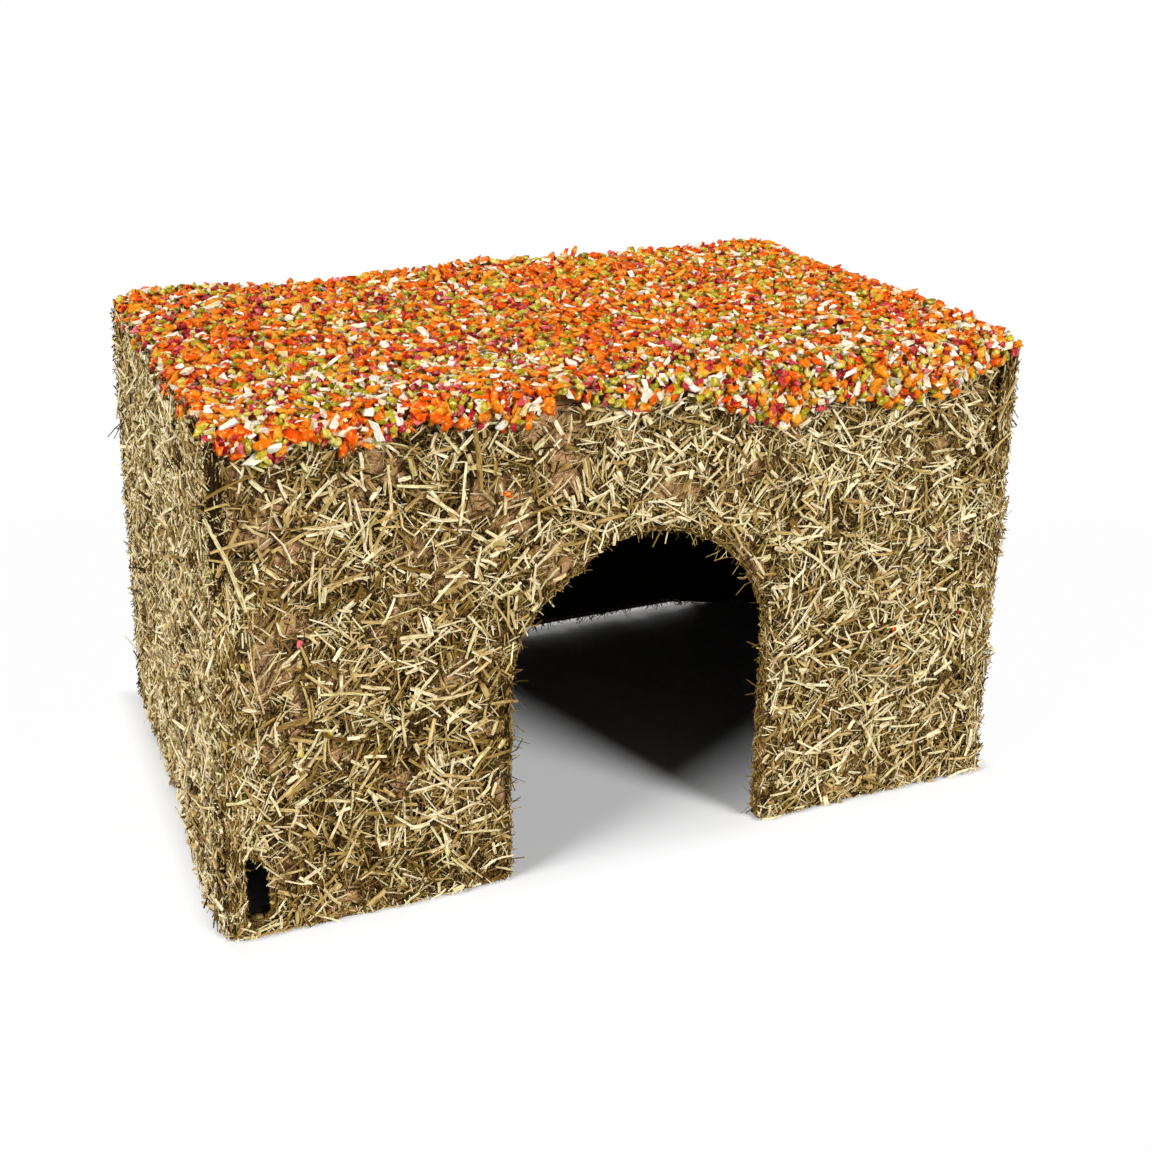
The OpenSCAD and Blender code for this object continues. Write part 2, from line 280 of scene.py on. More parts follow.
class Nodes:
    """A tree of nodes. What is put in one is an on-screen colour, a socket, a list or a number."""

    def __init__(self, tree):
        self.tree = tree

    def put(self, socket, value):
        if isinstance(value, bpy.types.NodeSocket):
            self.tree.links.new(value, socket)
        else:
            socket.default_value = srgb(*value) if isinstance(value, tuple) else value

    def add(self, kind, inputs, **settings):
        """A new node with its settings made and its inputs filled in; gives its outputs."""
        node = self.tree.nodes.new("ShaderNode" + kind)
        for key, value in settings.items():
            setattr(node, key, value)
        for socket, value in inputs.items():
            self.put(node.inputs[socket], value)
        return node.outputs

    def tint(self):
        return self.add("Attribute", {}, attribute_name="tint")["Fac"]

    def grain(self):
        return self.add("Attribute", {}, attribute_name="grain")["Vector"]

    def place(self):
        return self.add("TexCoord", {})["Object"]

    def parts(self, vector):
        return self.add("SeparateXYZ", {0: vector})

    def one_draw(self, value):
        """A number from 0 to 1 that is the same wherever the value is the same."""
        return self.add("TexWhiteNoise", {"W": value}, noise_dimensions="1D")["Value"]

    def noise(self, vector, scale, detail=2.0, roughness=0.5):
        inputs = {"Vector": vector, "Scale": scale, "Detail": detail, "Roughness": roughness}
        return self.add("TexNoise", inputs)["Fac"]

    def remap(self, value, low, high, to_low=0.0, to_high=1.0):
        inputs = {"From Min": low, "From Max": high, "To Min": to_low, "To Max": to_high}
        return self.add("MapRange", {"Value": value, **inputs})["Result"]

    def calc(self, operation, first, second=0.5):
        return self.add("Math", {0: first, 1: second}, operation=operation)[0]

    def mix(self, factor, first, second, kind="MIX"):
        inputs = {0: factor, 6: first, 7: second}
        return self.add("Mix", inputs, data_type="RGBA", blend_type=kind)[2]

    def ramp(self, factor, stops):
        """Colours over the factor; each stop is a position and a colour as on screen."""
        node = self.tree.nodes.new("ShaderNodeValToRGB")
        elements = node.color_ramp.elements
        while len(elements) < len(stops):
            elements.new(0.5)
        for element, (position, colour) in zip(elements, stops):
            element.position = position
            element.color = srgb(*colour)
        self.put(node.inputs["Fac"], factor)
        return node.outputs["Color"]

    def seen_rays(self):
        """1 for rays from the camera or through gloss or glass, 0 for the rest."""
        rays = self.add("LightPath", {})
        seen = self.calc("MAXIMUM", rays["Is Camera Ray"], rays["Is Glossy Ray"])
        return self.calc("MAXIMUM", seen, rays["Is Transmission Ray"])


class Look(Nodes):
    """A new material and its nodes."""

    def __init__(self, name):
        self.material = bpy.data.materials.new(name)
        self.material.use_nodes = True
        super().__init__(self.material.node_tree)
        self.surface = self.tree.nodes["Principled BSDF"]

    def finish(self, colour, roughness, gloss):
        inputs = {"Base Color": colour, "Roughness": roughness, "Specular IOR Level": gloss}
        for socket, value in inputs.items():
            self.put(self.surface.inputs[socket], value)

    def bump(self, height, strength, depth_mm):
        inputs = {"Height": height, "Strength": strength, "Distance": depth_mm * MM}
        self.put(self.surface.inputs["Normal"], self.add("Bump", inputs)["Normal"])


HAY_STOPS = [
    (0.0, (48, 31, 6)), (0.2, (84, 60, 18)), (0.42, (132, 103, 47)), (0.65, (181, 152, 89)),
    (0.85, (223, 200, 141)), (1.0, (250, 237, 196)),
]
FIBRES = (  # angle, length, width and colour of layers of fibres
    (12, 5.5, 0.55, (56, 38, 14)),
    (64, 6.5, 0.60, (90, 66, 30)),
    (118, 6.0, 0.50, (116, 90, 48)),
    (160, 7.0, 0.60, (100, 78, 38)),
    (38, 5.0, 0.55, (142, 114, 70)),
    (92, 6.0, 0.60, (168, 142, 96)),
)
CRUMB_STOPS = [
    (0.0, (176, 84, 10)), (0.46, (194, 104, 20)), (0.50, (176, 146, 90)), (0.62, (190, 164, 110)),
    (0.66, (112, 98, 14)), (0.88, (132, 116, 26)), (0.92, (96, 18, 28)), (1.0, (110, 24, 36)),
]
VEGETABLES = {  # tones, painted shade for the wrinkles, pale spots of painted highlight, and how much of each
    "carrot": (
        [(0.0, (212, 58, 2)), (0.3, (240, 80, 3)), (0.52, (240, 102, 8)), (0.74, (243, 136, 16)),
         (1.0, (244, 168, 42))],
        (166, 52, 2), (252, 190, 92), 0.5, 0.75,
    ),
    "pea": (
        [(0.0, (114, 106, 4)), (0.4, (164, 146, 12)), (0.75, (208, 185, 48)),
         (1.0, (236, 216, 108))],
        (92, 86, 2), (238, 228, 140), 0.5, 0.75,
    ),
    "parsnip": (
        [(0.0, (216, 180, 108)), (0.3, (238, 218, 164)), (0.65, (245, 239, 218)),
         (1.0, (248, 246, 238))],
        (196, 160, 92), (248, 245, 236), 0.45, 0.6,
    ),
    "beetroot": (
        [(0.0, (112, 10, 16)), (0.45, (170, 34, 44)), (0.75, (206, 62, 66)),
         (1.0, (240, 122, 124))],
        (86, 4, 6), (244, 150, 140), 0.5, 0.5,
    ),
}


def stem_material(name, rough):
    """Dry stems: one tone for each stem, some of them olive, streaked along the length."""
    look = Look(name)
    grain = look.grain()
    streak = look.noise(grain, 1.6, 3.0, 0.6)
    colour = look.ramp(look.tint(), HAY_STOPS)
    olive = look.remap(look.one_draw(look.parts(grain)[2]), 0.7, 1.0, 0.0, 0.7)
    colour = look.mix(olive, colour, (212, 222, 168), "MULTIPLY")
    brown = look.remap(streak, 0.44, 0.64, 0.0, 0.85)
    colour = look.mix(brown, colour, (158, 122, 72), "MULTIPLY")
    look.finish(colour, look.remap(streak, 0.3, 0.7, rough, rough + 0.25), 0.08)
    look.bump(streak, 0.35, 0.15)
    return look.material


def mat_material(name):
    """Pressed hay dust with near black specks painted as shade in its gaps, short fibres that cross
    in many directions, and patches of bare kraft.
    """
    look = Look(name)
    place = look.grain()
    colour = look.ramp(look.noise(place, 0.06, 3.0), [(0.3, (72, 47, 20)), (0.7, (134, 94, 54))])
    # Near black specks: painted shade of the gaps between stems.
    gap_shade_speck = look.remap(look.noise(place, 0.75, 3.0, 0.7), 0.48, 0.56, 0.0, 0.9)
    colour = look.mix(gap_shade_speck, colour, (28, 17, 5))
    kraft_tones = [(0.35, (204, 156, 108)), (0.65, (230, 184, 138))]
    brown = look.ramp(look.noise(place, 0.9, 4.0, 0.7), kraft_tones)
    ragged = look.remap(look.noise(place, 0.5), 0.3, 0.7, -0.3, 0.3)
    patch = look.calc("ADD", look.tint(), ragged)
    shown = look.remap(patch, 0.35, 0.65)
    colour = look.mix(shown, colour, brown)
    covered = look.remap(shown, 0.0, 1.0, 1.0, 0.3)
    height = None
    for degrees, long_mm, wide_mm, tone in FIBRES:
        inputs = {
            "Vector": place, "Rotation": [0, 0, math.radians(degrees)],
            "Scale": [long_mm, wide_mm, 1], "Location": [degrees * 3.7, degrees * 1.9, 0],
        }
        turned = look.add("Mapping", inputs, vector_type="TEXTURE")["Vector"]
        fibre = look.remap(look.noise(turned, 1.0, 1.0), 0.54, 0.60)
        fibre = look.calc("MULTIPLY", fibre, covered)
        colour = look.mix(fibre, colour, tone)
        height = fibre if height is None else look.calc("ADD", height, fibre)
    look.finish(colour, 0.85, 0.05)
    look.bump(height, 0.7, 0.35)
    return look.material


def kraft_material(name, brown, pale):
    """Kraft board: brown, with fine fibres, flecks and a slow change of tone, darkened inside the
    house and in its slits as painted shade.
    """
    look = Look(name)
    place = look.place()
    fibre = look.noise(place, 420.0, 3.0, 0.7)
    slow = look.remap(look.noise(place, 22.0, 3.0), 0.35, 0.65)
    colour = look.mix(slow, brown, pale)
    colour = look.mix(look.remap(fibre, 0.35, 0.7, 0.0, 0.5), colour, (88, 64, 36))
    fleck = look.remap(look.noise(place, 1100.0), 0.62, 0.72, 0.0, 0.6)
    colour = look.mix(fleck, colour, (196, 166, 122))
    # Painted shade: every face of the board inside the house and in the slits is multiplied by a
    # dark grey.
    x, y, z = look.parts(place)
    inside_shade_mask = look.calc("LESS_THAN", look.calc("ABSOLUTE", x), (SIDE_IN + 0.3) * MM)
    for way, limit in ((look.calc("ABSOLUTE", y), HALF_D - 0.2), (z, WALL_TOP + 0.3)):
        inside_shade_mask = look.calc("MULTIPLY", inside_shade_mask, look.calc("LESS_THAN", way, limit * MM))
    painted_shade = look.mix(1.0, colour, (44, 40, 36), "MULTIPLY")
    look.finish(look.mix(inside_shade_mask, colour, painted_shade), look.remap(fibre, 0.3, 0.7, 0.78, 0.95), 0.2)
    look.bump(fibre, 0.4, 0.2)
    return look.material


def vegetable_material(name, stops, painted_shade, pale, wrinkle_shade_share, highlight_share):
    """Dried vegetable: a tone for each flake, mottled with pale spots that are painted highlights,
    darker in its wrinkles as painted shade.
    """
    look = Look(name)
    grain = look.grain()
    fold = look.noise(grain, 0.9, 4.0, 0.62)
    colour = look.ramp(look.tint(), stops)
    # Painted shade: the wrinkles are mixed towards a dark tone.
    colour = look.mix(look.remap(fold, 0.42, 0.66, 0.0, wrinkle_shade_share), colour, painted_shade)
    # Painted highlights: pale spots mixed over the flake.
    painted_highlight = look.remap(look.noise(grain, 0.55, 3.0, 0.6), 0.52, 0.63, 0.0, highlight_share)
    colour = look.mix(painted_highlight, colour, pale)
    look.finish(colour, look.remap(fold, 0.3, 0.7, 0.45, 0.8), 0.04)
    look.bump(fold, 0.8, 0.8)
    return look.material


def bed_material(name):
    """The paste under the vegetables, full of their finest crumbs, darker brown between them as
    painted shade.
    """
    look = Look(name)
    crumbs = look.add("TexVoronoi", {"Vector": look.grain(), "Scale": 0.42})
    colour = look.ramp(look.parts(crumbs["Color"])[0], CRUMB_STOPS)
    # Painted shade: darker brown away from each crumb, where the bump sinks.
    far = look.remap(crumbs["Distance"], 0.25, 0.75, 0.0, 0.8)
    look.finish(look.mix(far, colour, (92, 54, 18)), 0.8, 0.04)
    look.bump(look.calc("SUBTRACT", 1.0, crumbs["Distance"]), 0.8, 0.8)
    return look.material


hay = stem_material("hay", 0.55)
straw = stem_material("straw", 0.42)
pressed_hay = mat_material("pressed_hay")
kraft = kraft_material("kraft", (128, 94, 54), (160, 124, 80))
seam_paste = kraft_material("seam_paste", (58, 44, 24), (84, 66, 40))
glue = kraft_material("glue", (190, 172, 124), (212, 198, 156))
bed = bed_material("bed")
vegetables = {kind: vegetable_material(kind, *row) for kind, row in VEGETABLES.items()}


# Walls and the edges of their hay

RIGHT_LUMPS = (
    (123, 12, 1.8), (111, 8, 3.4), (54, 8, 4.2), (149, 8, -3.4), (92, 8, -3.2), (72, 7, -1.8),
)


def left_spread(u, v):
    """How much further off the left wall its hay stands, towards the front of its foot."""
    return 5.0 * bell(u, 66, 45) * step_between(62 - v, 0, 62)


def front_spread(u, v):
    """The same for the front wall, most of all left of the doorway."""
    return (2.4 + 2.2 * bell(u, -118, 45)) * step_between(26 - v, 0, 26)


class Wall:
    """A wall's own plane: u along it, v up, and off it by w, all in millimetres. swell gives how
    much further off its hay stands at a place."""

    def __init__(self, out_x, out_y, distance, swell=None):
        self.out = np.array([out_x, out_y, 0.0])
        self.along = np.array([-out_y, out_x, 0.0])
        self.origin = distance * self.out
        self.swell = swell

    def face(self, u, v):
        return self.origin + u[..., None] * self.along + v[..., None] * UP

    def point(self, u, v, w):
        if self.swell:
            w = w + self.swell(u, v)
        return self.face(u, v) + w[..., None] * self.out

    def direction(self, u, v, w):
        return u[:, None] * self.along + v[:, None] * UP + w[:, None] * self.out


front_wall = Wall(0, -1, END_OUT, front_spread)
back_wall = Wall(0, 1, END_OUT)
left_wall = Wall(-1, 0, SIDE_OUT, left_spread)
right_wall = Wall(1, 0, SIDE_OUT)
front_corners = Wall(0, -1, HALF_D)
back_corners = Wall(0, 1, HALF_D)


def hay_hang(u, v):
    """How far hay hangs into the doorway: a little at the left jamb, more at the upper left."""
    turn = np.degrees(np.arctan2(-u, np.maximum(v - SPRING, 0)))
    return np.where(u < 0, 1.6 * step_between(turn, 0, 60), 0) + 3.4 * bell(turn, 36, 20)


def doorway_radius(u, v):
    """How far a point of the front wall's plane is from the doorway's middle line."""
    return np.where(v < SPRING, np.abs(u), np.hypot(u, v - SPRING))


def left_reach(v):
    """How far out the front hay goes at the left: over the side wall's edge, but for the slits."""
    ragged = lattice_noise(v + 300, v * 0 + 3, 0, 7, 31)
    over = step_between(v, 36, 40) * step_between(142 + 14 * ragged - v, 0, 4)
    over = np.maximum(over, step_between(9 - v, 0, 3))
    part = END_HALF + np.where(v > 120, 4.6 + 1.6 * ragged, 0)
    return part + over * (HALF_W + 0.8 - part)


def right_reach(v):
    """How far out it goes at the right: in lumps over the side wall's edge, below the slit."""
    part = END_HALF + 1.5
    return part + step_between(156 - v, 0, 6) * (HALF_W + 2.4 + bells(v, RIGHT_LUMPS) - part)


def back_lift(u):
    """Height of the back wall's lower edge over the floor."""
    return BACK_RISE * step_between(END_HALF - np.abs(u), 12, 42)


# Overhangs: how far a point of a wall's plane is off the hay there, and below 0 on it


def over_floor(v, over):
    return np.where(v < CLEAR, FAR, over)


def front_overhang(u, v):
    """In the doorway, past an end, over the top or in the notch."""
    over = np.maximum(DOOR_R - hay_hang(u, v) - doorway_radius(u, v), v - HAY_TOP)
    over = np.maximum(over, np.abs(u) - np.where(u < 0, left_reach(v), right_reach(v)))
    width, low, high = NOTCH
    in_notch = np.minimum(np.minimum(v - low, high - v), width - END_HALF - u)
    return over_floor(v, np.maximum(over, np.where(u < 0, in_notch, -FAR)))


def back_overhang(u, v):
    over = np.maximum(np.abs(u) - HALF_W - 0.8, v - HAY_TOP)
    return over_floor(v, np.maximum(over, back_lift(u) - v))


def side_overhang(u, v):
    return over_floor(v, np.maximum(np.abs(u) - HALF_D, v - RIM_TOP))


def corner_overhang(u, v):
    """The front or back edge of a side wall."""
    far = np.abs(u)
    past = np.where(u < 0, 1, 2.4 + 2.6 * bell(v, 167, 7))
    over = np.maximum(np.maximum(SIDE_IN - 0.4 - far, far - HALF_W - past), v - RIM_TOP)
    return over_floor(v, over)


def seam_overhang(u, v):
    """The middle of a corner's slit, which hay bridges."""
    off_middle = np.abs(np.abs(u) - (SIDE_IN + END_HALF) / 2)
    return np.maximum(off_middle - 5.5, np.abs(v - 92) - 58)


def slit_overhang(u, v):
    """The upper end of the right corner's slit."""
    return np.maximum(np.maximum(END_HALF - 1 - u, u - HALF_W), np.abs(v - 167) - 27)


# The pressed hay


def settle_front(u, v):
    """Moves the grid points just inside the doorway out to its edge."""
    radius = doorway_radius(u, v)
    edge = DOOR_R - hay_hang(u, v)
    inside = (radius < edge) & (radius > edge - 2.6)
    scale = np.where(inside, edge / np.maximum(radius, 1), 1)
    return u * scale, np.where(v < SPRING, v, SPRING + (v - SPRING) * scale)


def settle_back(u, v):
    """Sets the grid on the back wall's lower edge."""
    lift = back_lift(u)
    return u, lift + v * (HAY_TOP - lift) / HAY_TOP


def patches(u, v, seed, edge):
    """1 where the board is bare, 0 where hay covers it."""
    wide = lattice_noise(u, v, PATCH_SHIFT, 22, seed)
    field = wide * 0.6 + lattice_noise(u, v, PATCH_SHIFT, 8, seed + 1) * 0.4
    return step_between(field, edge - 0.06, edge + 0.1)


BARE_SPOTS = (  # place and radius of the larger ones in front
    (-163, 184, 7), (-162, 166, 10), (-152, 164, 9), (-148, 175, 6), (-140, 153, 9),
    (-162, 115, 10), (-126, 102, 6), (-126, 147, 5), (-149, 143, 5), (-91, 170, 5), (-72, 174, 4),
    (-47, 180, 3.6), (-27, 174, 4), (117, 161, 4), (-81, 32, 5),
)


def front_bare(u, v):
    upper_left = step_between(v, 70, 130) * step_between(-u, -30, 60)
    bare = patches(u, v, 5, 0.66 - 0.1 * upper_left + 0.1 * step_between(u, 40, 90))
    for spot_u, spot_v, radius in BARE_SPOTS:
        inside = 1.25 * radius - np.hypot(u - spot_u, v - spot_v)
        bare = np.maximum(bare, step_between(inside, 0, 0.7 * radius))
    return bare


def other_bare(u, v):
    return patches(u, v, 15, 0.7)


def make_ground(seed, bare):
    """Height of the pressed hay over the board."""
    def ground(u, v):
        relief = sum(
            share * lattice_noise(u, v, HAY_SHIFT, cell, seed + index)
            for index, (share, cell) in enumerate(((0.5, 9), (0.3, 4), (0.2, 1.9)))
        )
        return 0.5 + 2.6 * relief * (1 - 0.7 * bare(u, v))
    return ground


def flat_ground(u, v):
    return np.zeros_like(u)


# Stems on the walls


def scatter(wall, overhang, ground, bounds, count, seed, kind, bare=None):
    """Stems thrown on a wall; those that would reach too far off its hay are shortened. In a kind,
    turn is the spread of the lean from upright, or None for any; fray is how far ends reach off the
    hay; thinned is what bare patches take away; cloud and drift change the tint over the wall."""
    draw = new_draw(seed)
    u_low, u_high, v_low, v_high = bounds
    u = draw.uniform(u_low, u_high, count)
    v = draw.uniform(v_low, v_high, count)
    keep = overhang(u, v) < 0
    if bare is not None:
        keep &= draw.random(count) > kind["thinned"] * bare(u, v)
    u, v = u[keep], v[keep]
    count = len(u)
    if kind["turn"] is None:
        angle = draw.uniform(0, math.pi, count)
    else:
        angle = math.pi / 2 + draw.normal(0, kind["turn"], count)
    length = drawn_lengths(draw, kind["length"], kind["spread"], *kind["lengths"], count)
    width = draw.uniform(*kind["width"], count)
    allow = np.minimum(draw.exponential(kind["fray"], count), kind["fray_most"])

    def ends_off():
        """How far off the hay the further end of each stem is."""
        to_u, to_v = np.cos(angle) * length / 2, np.sin(angle) * length / 2
        return np.maximum(overhang(u + to_u, v + to_v), overhang(u - to_u, v - to_v))

    for _ in range(9):
        length = np.where(ends_off() > allow, length * 0.74, length)
    good = (ends_off() <= allow) & (length > 1.4)
    u, v, angle, length, width = u[good], v[good], angle[good], length[good], width[good]
    count = len(u)
    low, most = kind["height"]
    rise = draw.random(count)
    tilt = np.clip(draw.normal(0, kind["tilt"], count), -0.6, 0.6)
    roll = draw.normal(0, 0.4, count)
    cloud = kind["cloud"] * (lattice_noise(u, v, HAY_SHIFT, 7, 41) - 0.5)
    paler = np.clip(u / 110, -1, 1) + 0.5 * np.clip((v - 100) / 80, -1, 1)
    cloud = cloud + kind["drift"] * paler
    # Lower stems get a darker tint and upper ones a paler one: painted shade and light through the
    # layers.
    tint = draw.normal(kind["tint"], kind["tint_spread"], count) + 0.6 * (rise - 0.5) + cloud
    return dict(
        centre=wall.point(u, v, ground(u, v) + low + (most - low) * rise),
        along=wall.direction(np.cos(angle), np.sin(angle), np.sin(tilt)),
        across=wall.direction(-np.sin(angle), np.cos(angle), np.sin(roll)),
        length=length, width=width, thick=width * draw.uniform(0.25, 0.6, count),
        bow=length * draw.normal(0, kind["bow"], count), lift=length * draw.normal(0, 0.03, count),
        taper=draw.uniform(0, 1, count), tint=np.clip(tint, 0, 1),
    )


STEM_CORNERS = 12  # corners of one stem of the CAD model, a six-sided prism


def cad_stems(name, wall, seed):
    """The loose stems of a CAD node, each in its own place."""
    mesh = nodes[name].data
    points = np.empty(3 * len(mesh.vertices))
    mesh.vertices.foreach_get("co", points)
    edges = np.empty(2 * len(mesh.edges), int)
    mesh.edges.foreach_get("vertices", edges)
    points = np.round(points.reshape(-1, 3) / MM, 3)
    points, index = np.unique(points, axis=0, return_inverse=True)
    first, second = index.ravel()[edges.reshape(-1, 2)].T
    label = np.arange(len(points))
    for _ in range(STEM_CORNERS):
        np.minimum.at(label, first, label[second])
        np.minimum.at(label, second, label[first])
    corners = points[np.argsort(label, kind="stable")].reshape(-1, STEM_CORNERS, 3)
    centre = corners.mean(axis=1)
    along = np.linalg.svd(corners - centre[:, None])[2][:, 0]
    length = np.ptp(np.einsum("npi,ni->np", corners - centre[:, None], along), axis=1)
    draw = new_draw(seed)
    count = len(centre)
    width = draw.uniform(1.3, 2.0, count)
    return dict(
        centre=centre + 0.5 * wall.out, along=along, across=np.cross(along, wall.out),
        length=length, width=width, thick=0.6 * width, bow=length * draw.normal(0, 0.02, count),
        lift=np.zeros(count), taper=draw.uniform(0, 1, count),
        tint=drawn_tints(draw, 0.72, 0.18, count),
    )


# Kinds of stem, and how many of each a wall has

FINE = dict(
    turn=None, length=5.6, spread=0.45, lengths=(1.8, 15), width=(0.3, 0.62), fray=0.9,
    fray_most=4.0, height=(-0.2, 1.8), tilt=0.16, bow=0.09, tint=0.38, tint_spread=0.36,
    thinned=0.82, cloud=0.4, drift=0.0,
)
MIDDLE = dict(
    FINE, length=6.8, spread=0.42, lengths=(2.6, 18), width=(0.45, 1.05), height=(0.4, 2.6),
    tilt=0.12, bow=0.03, tint=0.58, tint_spread=0.37, thinned=0.72,
)
LONG = dict(
    MIDDLE, length=10.0, spread=0.42, lengths=(4.5, 27), width=(0.8, 1.8), height=(1.4, 3.2),
    tilt=0.06, tint=0.78, tint_spread=0.2, thinned=0.45,
)
CHIP = dict(
    LONG, length=5.6, spread=0.3, lengths=(3.2, 10), width=(1.6, 2.9), height=(1.6, 3.2), tint=0.9,
    tint_spread=0.14, thinned=0.2,
)
HAIR = dict(
    FINE, length=9.0, spread=0.4, lengths=(5, 18), width=(0.28, 0.45), height=(1.0, 3.0), fray=3.0,
    fray_most=6.0, tilt=0.4, bow=0.16, tint=0.35, thinned=0.0,
)
FOOT = dict(
    FINE, turn=1.3, length=6.5, width=(0.4, 1.1), height=(-0.4, 2.2), fray=1.5, tilt=0.3, tint=0.5,
    thinned=0.0,
)
EDGE = dict(
    FINE, turn=0.5, length=6.0, width=(0.35, 0.9), height=(-0.3, 1.2), fray=0.5, fray_most=2.0,
)
# Near black stems on the left front corner's upper edge: painted shade of the slit.
PAINTED_SHADE_EDGE = dict(EDGE, tint=-0.3, tint_spread=0.1, cloud=0.0)
PALE_EDGE = dict(
    EDGE, turn=1.2, tint=0.75, tint_spread=0.2, length=8.0, fray=3.0, fray_most=6.0,
)
BRIDGE = dict(MIDDLE, turn=0.8, length=8.0, width=(0.4, 1.2), height=(-0.4, 1.6), fray=1.2)
SHADE = dict(
    BRIDGE, turn=0.35, width=(0.4, 1.0), height=(-3.4, -0.4), tint=0.12, tint_spread=0.12,
)
WALL_KINDS = (FINE, MIDDLE, LONG, CHIP, HAIR)
FRONT_COUNTS = (29000, 13500, 2700, 560, 240)
BACK_COUNTS = (17000, 9000, 1800, 360, 200)
SIDE_COUNTS = (16500, 7800, 2300, 260, 260)
SIDE_WIDTHS = (1.0, 1.15, 1.15, 1.15, 1.15)
SIDE_TURN = 2.2
FRONT_DRIFT = 0.055
FOOT_COUNT, FOOT_TOP = 900, 3.5
SHEET_CELL = 2.3  # grid of the pressed sheet


def side_kind(kind, scale):
    """A kind of stem as it lies on the side walls: paler, partly the side hay's own tone and partly
    painted light, more mixed, more tilted and wider.
    """
    return dict(
        kind, tint=kind["tint"] + 0.1, tint_spread=1.35 * kind["tint_spread"], cloud=0.9,
        tilt=kind["tilt"] + 0.24, width=tuple(scale * wide for wide in kind["width"]),
    )


def add_hay(side, wall, overhang, bounds, settle, bare, counts, seed, turn=None):
    """One wall's hay: the pressed sheet, fine bits, middling bits and the long stems on top."""
    ground = make_ground(seed, bare)
    u_low, u_high, v_low, v_high = bounds
    reach = HALF_W + 5 if turn is None else u_high
    u, v = np.meshgrid(
        np.linspace(u_low, u_high, round((u_high - u_low) / SHEET_CELL)),
        np.linspace(v_low, v_high, round((v_high - v_low) / SHEET_CELL)),
        indexing="ij",
    )
    across, rise = (u - u_low) / (u_high - u_low), (v - v_low) / (v_high - v_low)
    kept = overhang((u[:-1, :-1] + u[1:, 1:]) / 2, (v[:-1, :-1] + v[1:, 1:]) / 2) < -0.2
    if settle is settle_back:
        kept = np.ones_like(kept)
    if settle:
        u, v = settle(u, v)
    height = ground(u, v)
    add_sheet(
        side + "_hay_sheet", wall.point(u, v, height), wall.face(u, v), kept, across, rise,
        bare(u, v), columns(u, v, height), pressed_hay, (side + "_hay",),
    )
    drift = FRONT_DRIFT if side == "front" else 0.0
    kinds = [dict(kind, turn=turn, drift=drift) for kind in WALL_KINDS]
    if turn is not None:
        kinds = [side_kind(kind, scale) for kind, scale in zip(kinds, SIDE_WIDTHS)]
    area = (-reach, reach, CLEAR)
    fine, middle, long, chips, hairs = (
        scatter(wall, overhang, ground, (*area, v_high), count, seed + 3 + index, kind, bare)
        for index, (count, kind) in enumerate(zip(counts, kinds))
    )
    foot = scatter(wall, overhang, ground, (*area, FOOT_TOP), FOOT_COUNT, seed + 9, FOOT)
    add_stems(side + "_hay_fine", joined(fine, foot), 2, 3, hay)
    add_stems(side + "_hay_middle", middle, 2, 4, hay)
    long = joined(long, chips, hairs, cad_stems(side + "_stems", wall, seed + 10))
    add_stems(side + "_hay_long", long, 3, 4, straw, (side + "_stems",))


front_bounds = (0.1 - SIDE_IN, END_HALF, 0.2, HAY_TOP)
back_bounds = (0.1 - SIDE_IN, SIDE_IN - 0.1, 0.2, HAY_TOP)
side_bounds = (-HALF_D, HALF_D, 0.2, RIM_TOP)
front_way = (front_overhang, front_bounds, settle_front, front_bare, FRONT_COUNTS)
back_way = (back_overhang, back_bounds, settle_back, other_bare, BACK_COUNTS)
side_way = (side_overhang, side_bounds, None, other_bare, SIDE_COUNTS)
add_hay("front", front_wall, *front_way, 100)
add_hay("back", back_wall, *back_way, 200)
add_hay("left", left_wall, *side_way, 300, SIDE_TURN)
add_hay("right", right_wall, *side_way, 400, SIDE_TURN)


# Stems along the doorway, the back wall's foot and the corners


def arch_at(run):
    """A point (x, z) of the doorway's edge at a distance from the crown along it, the way along
    the edge and the way into the doorway."""
    side = np.sign(run)
    turn = np.minimum(np.abs(run) / DOOR_R, math.pi / 2)
    drop = np.maximum(0, np.abs(run) - DOOR_R * math.pi / 2)
    x = side * DOOR_R * np.sin(turn)
    z = SPRING + DOOR_R * np.cos(turn) - drop
    none = np.zeros_like(run)
    along = columns(np.cos(turn), none, -side * np.sin(turn))
    into = columns(-side * np.sin(turn), none, -np.cos(turn))
    return x, z, along, into


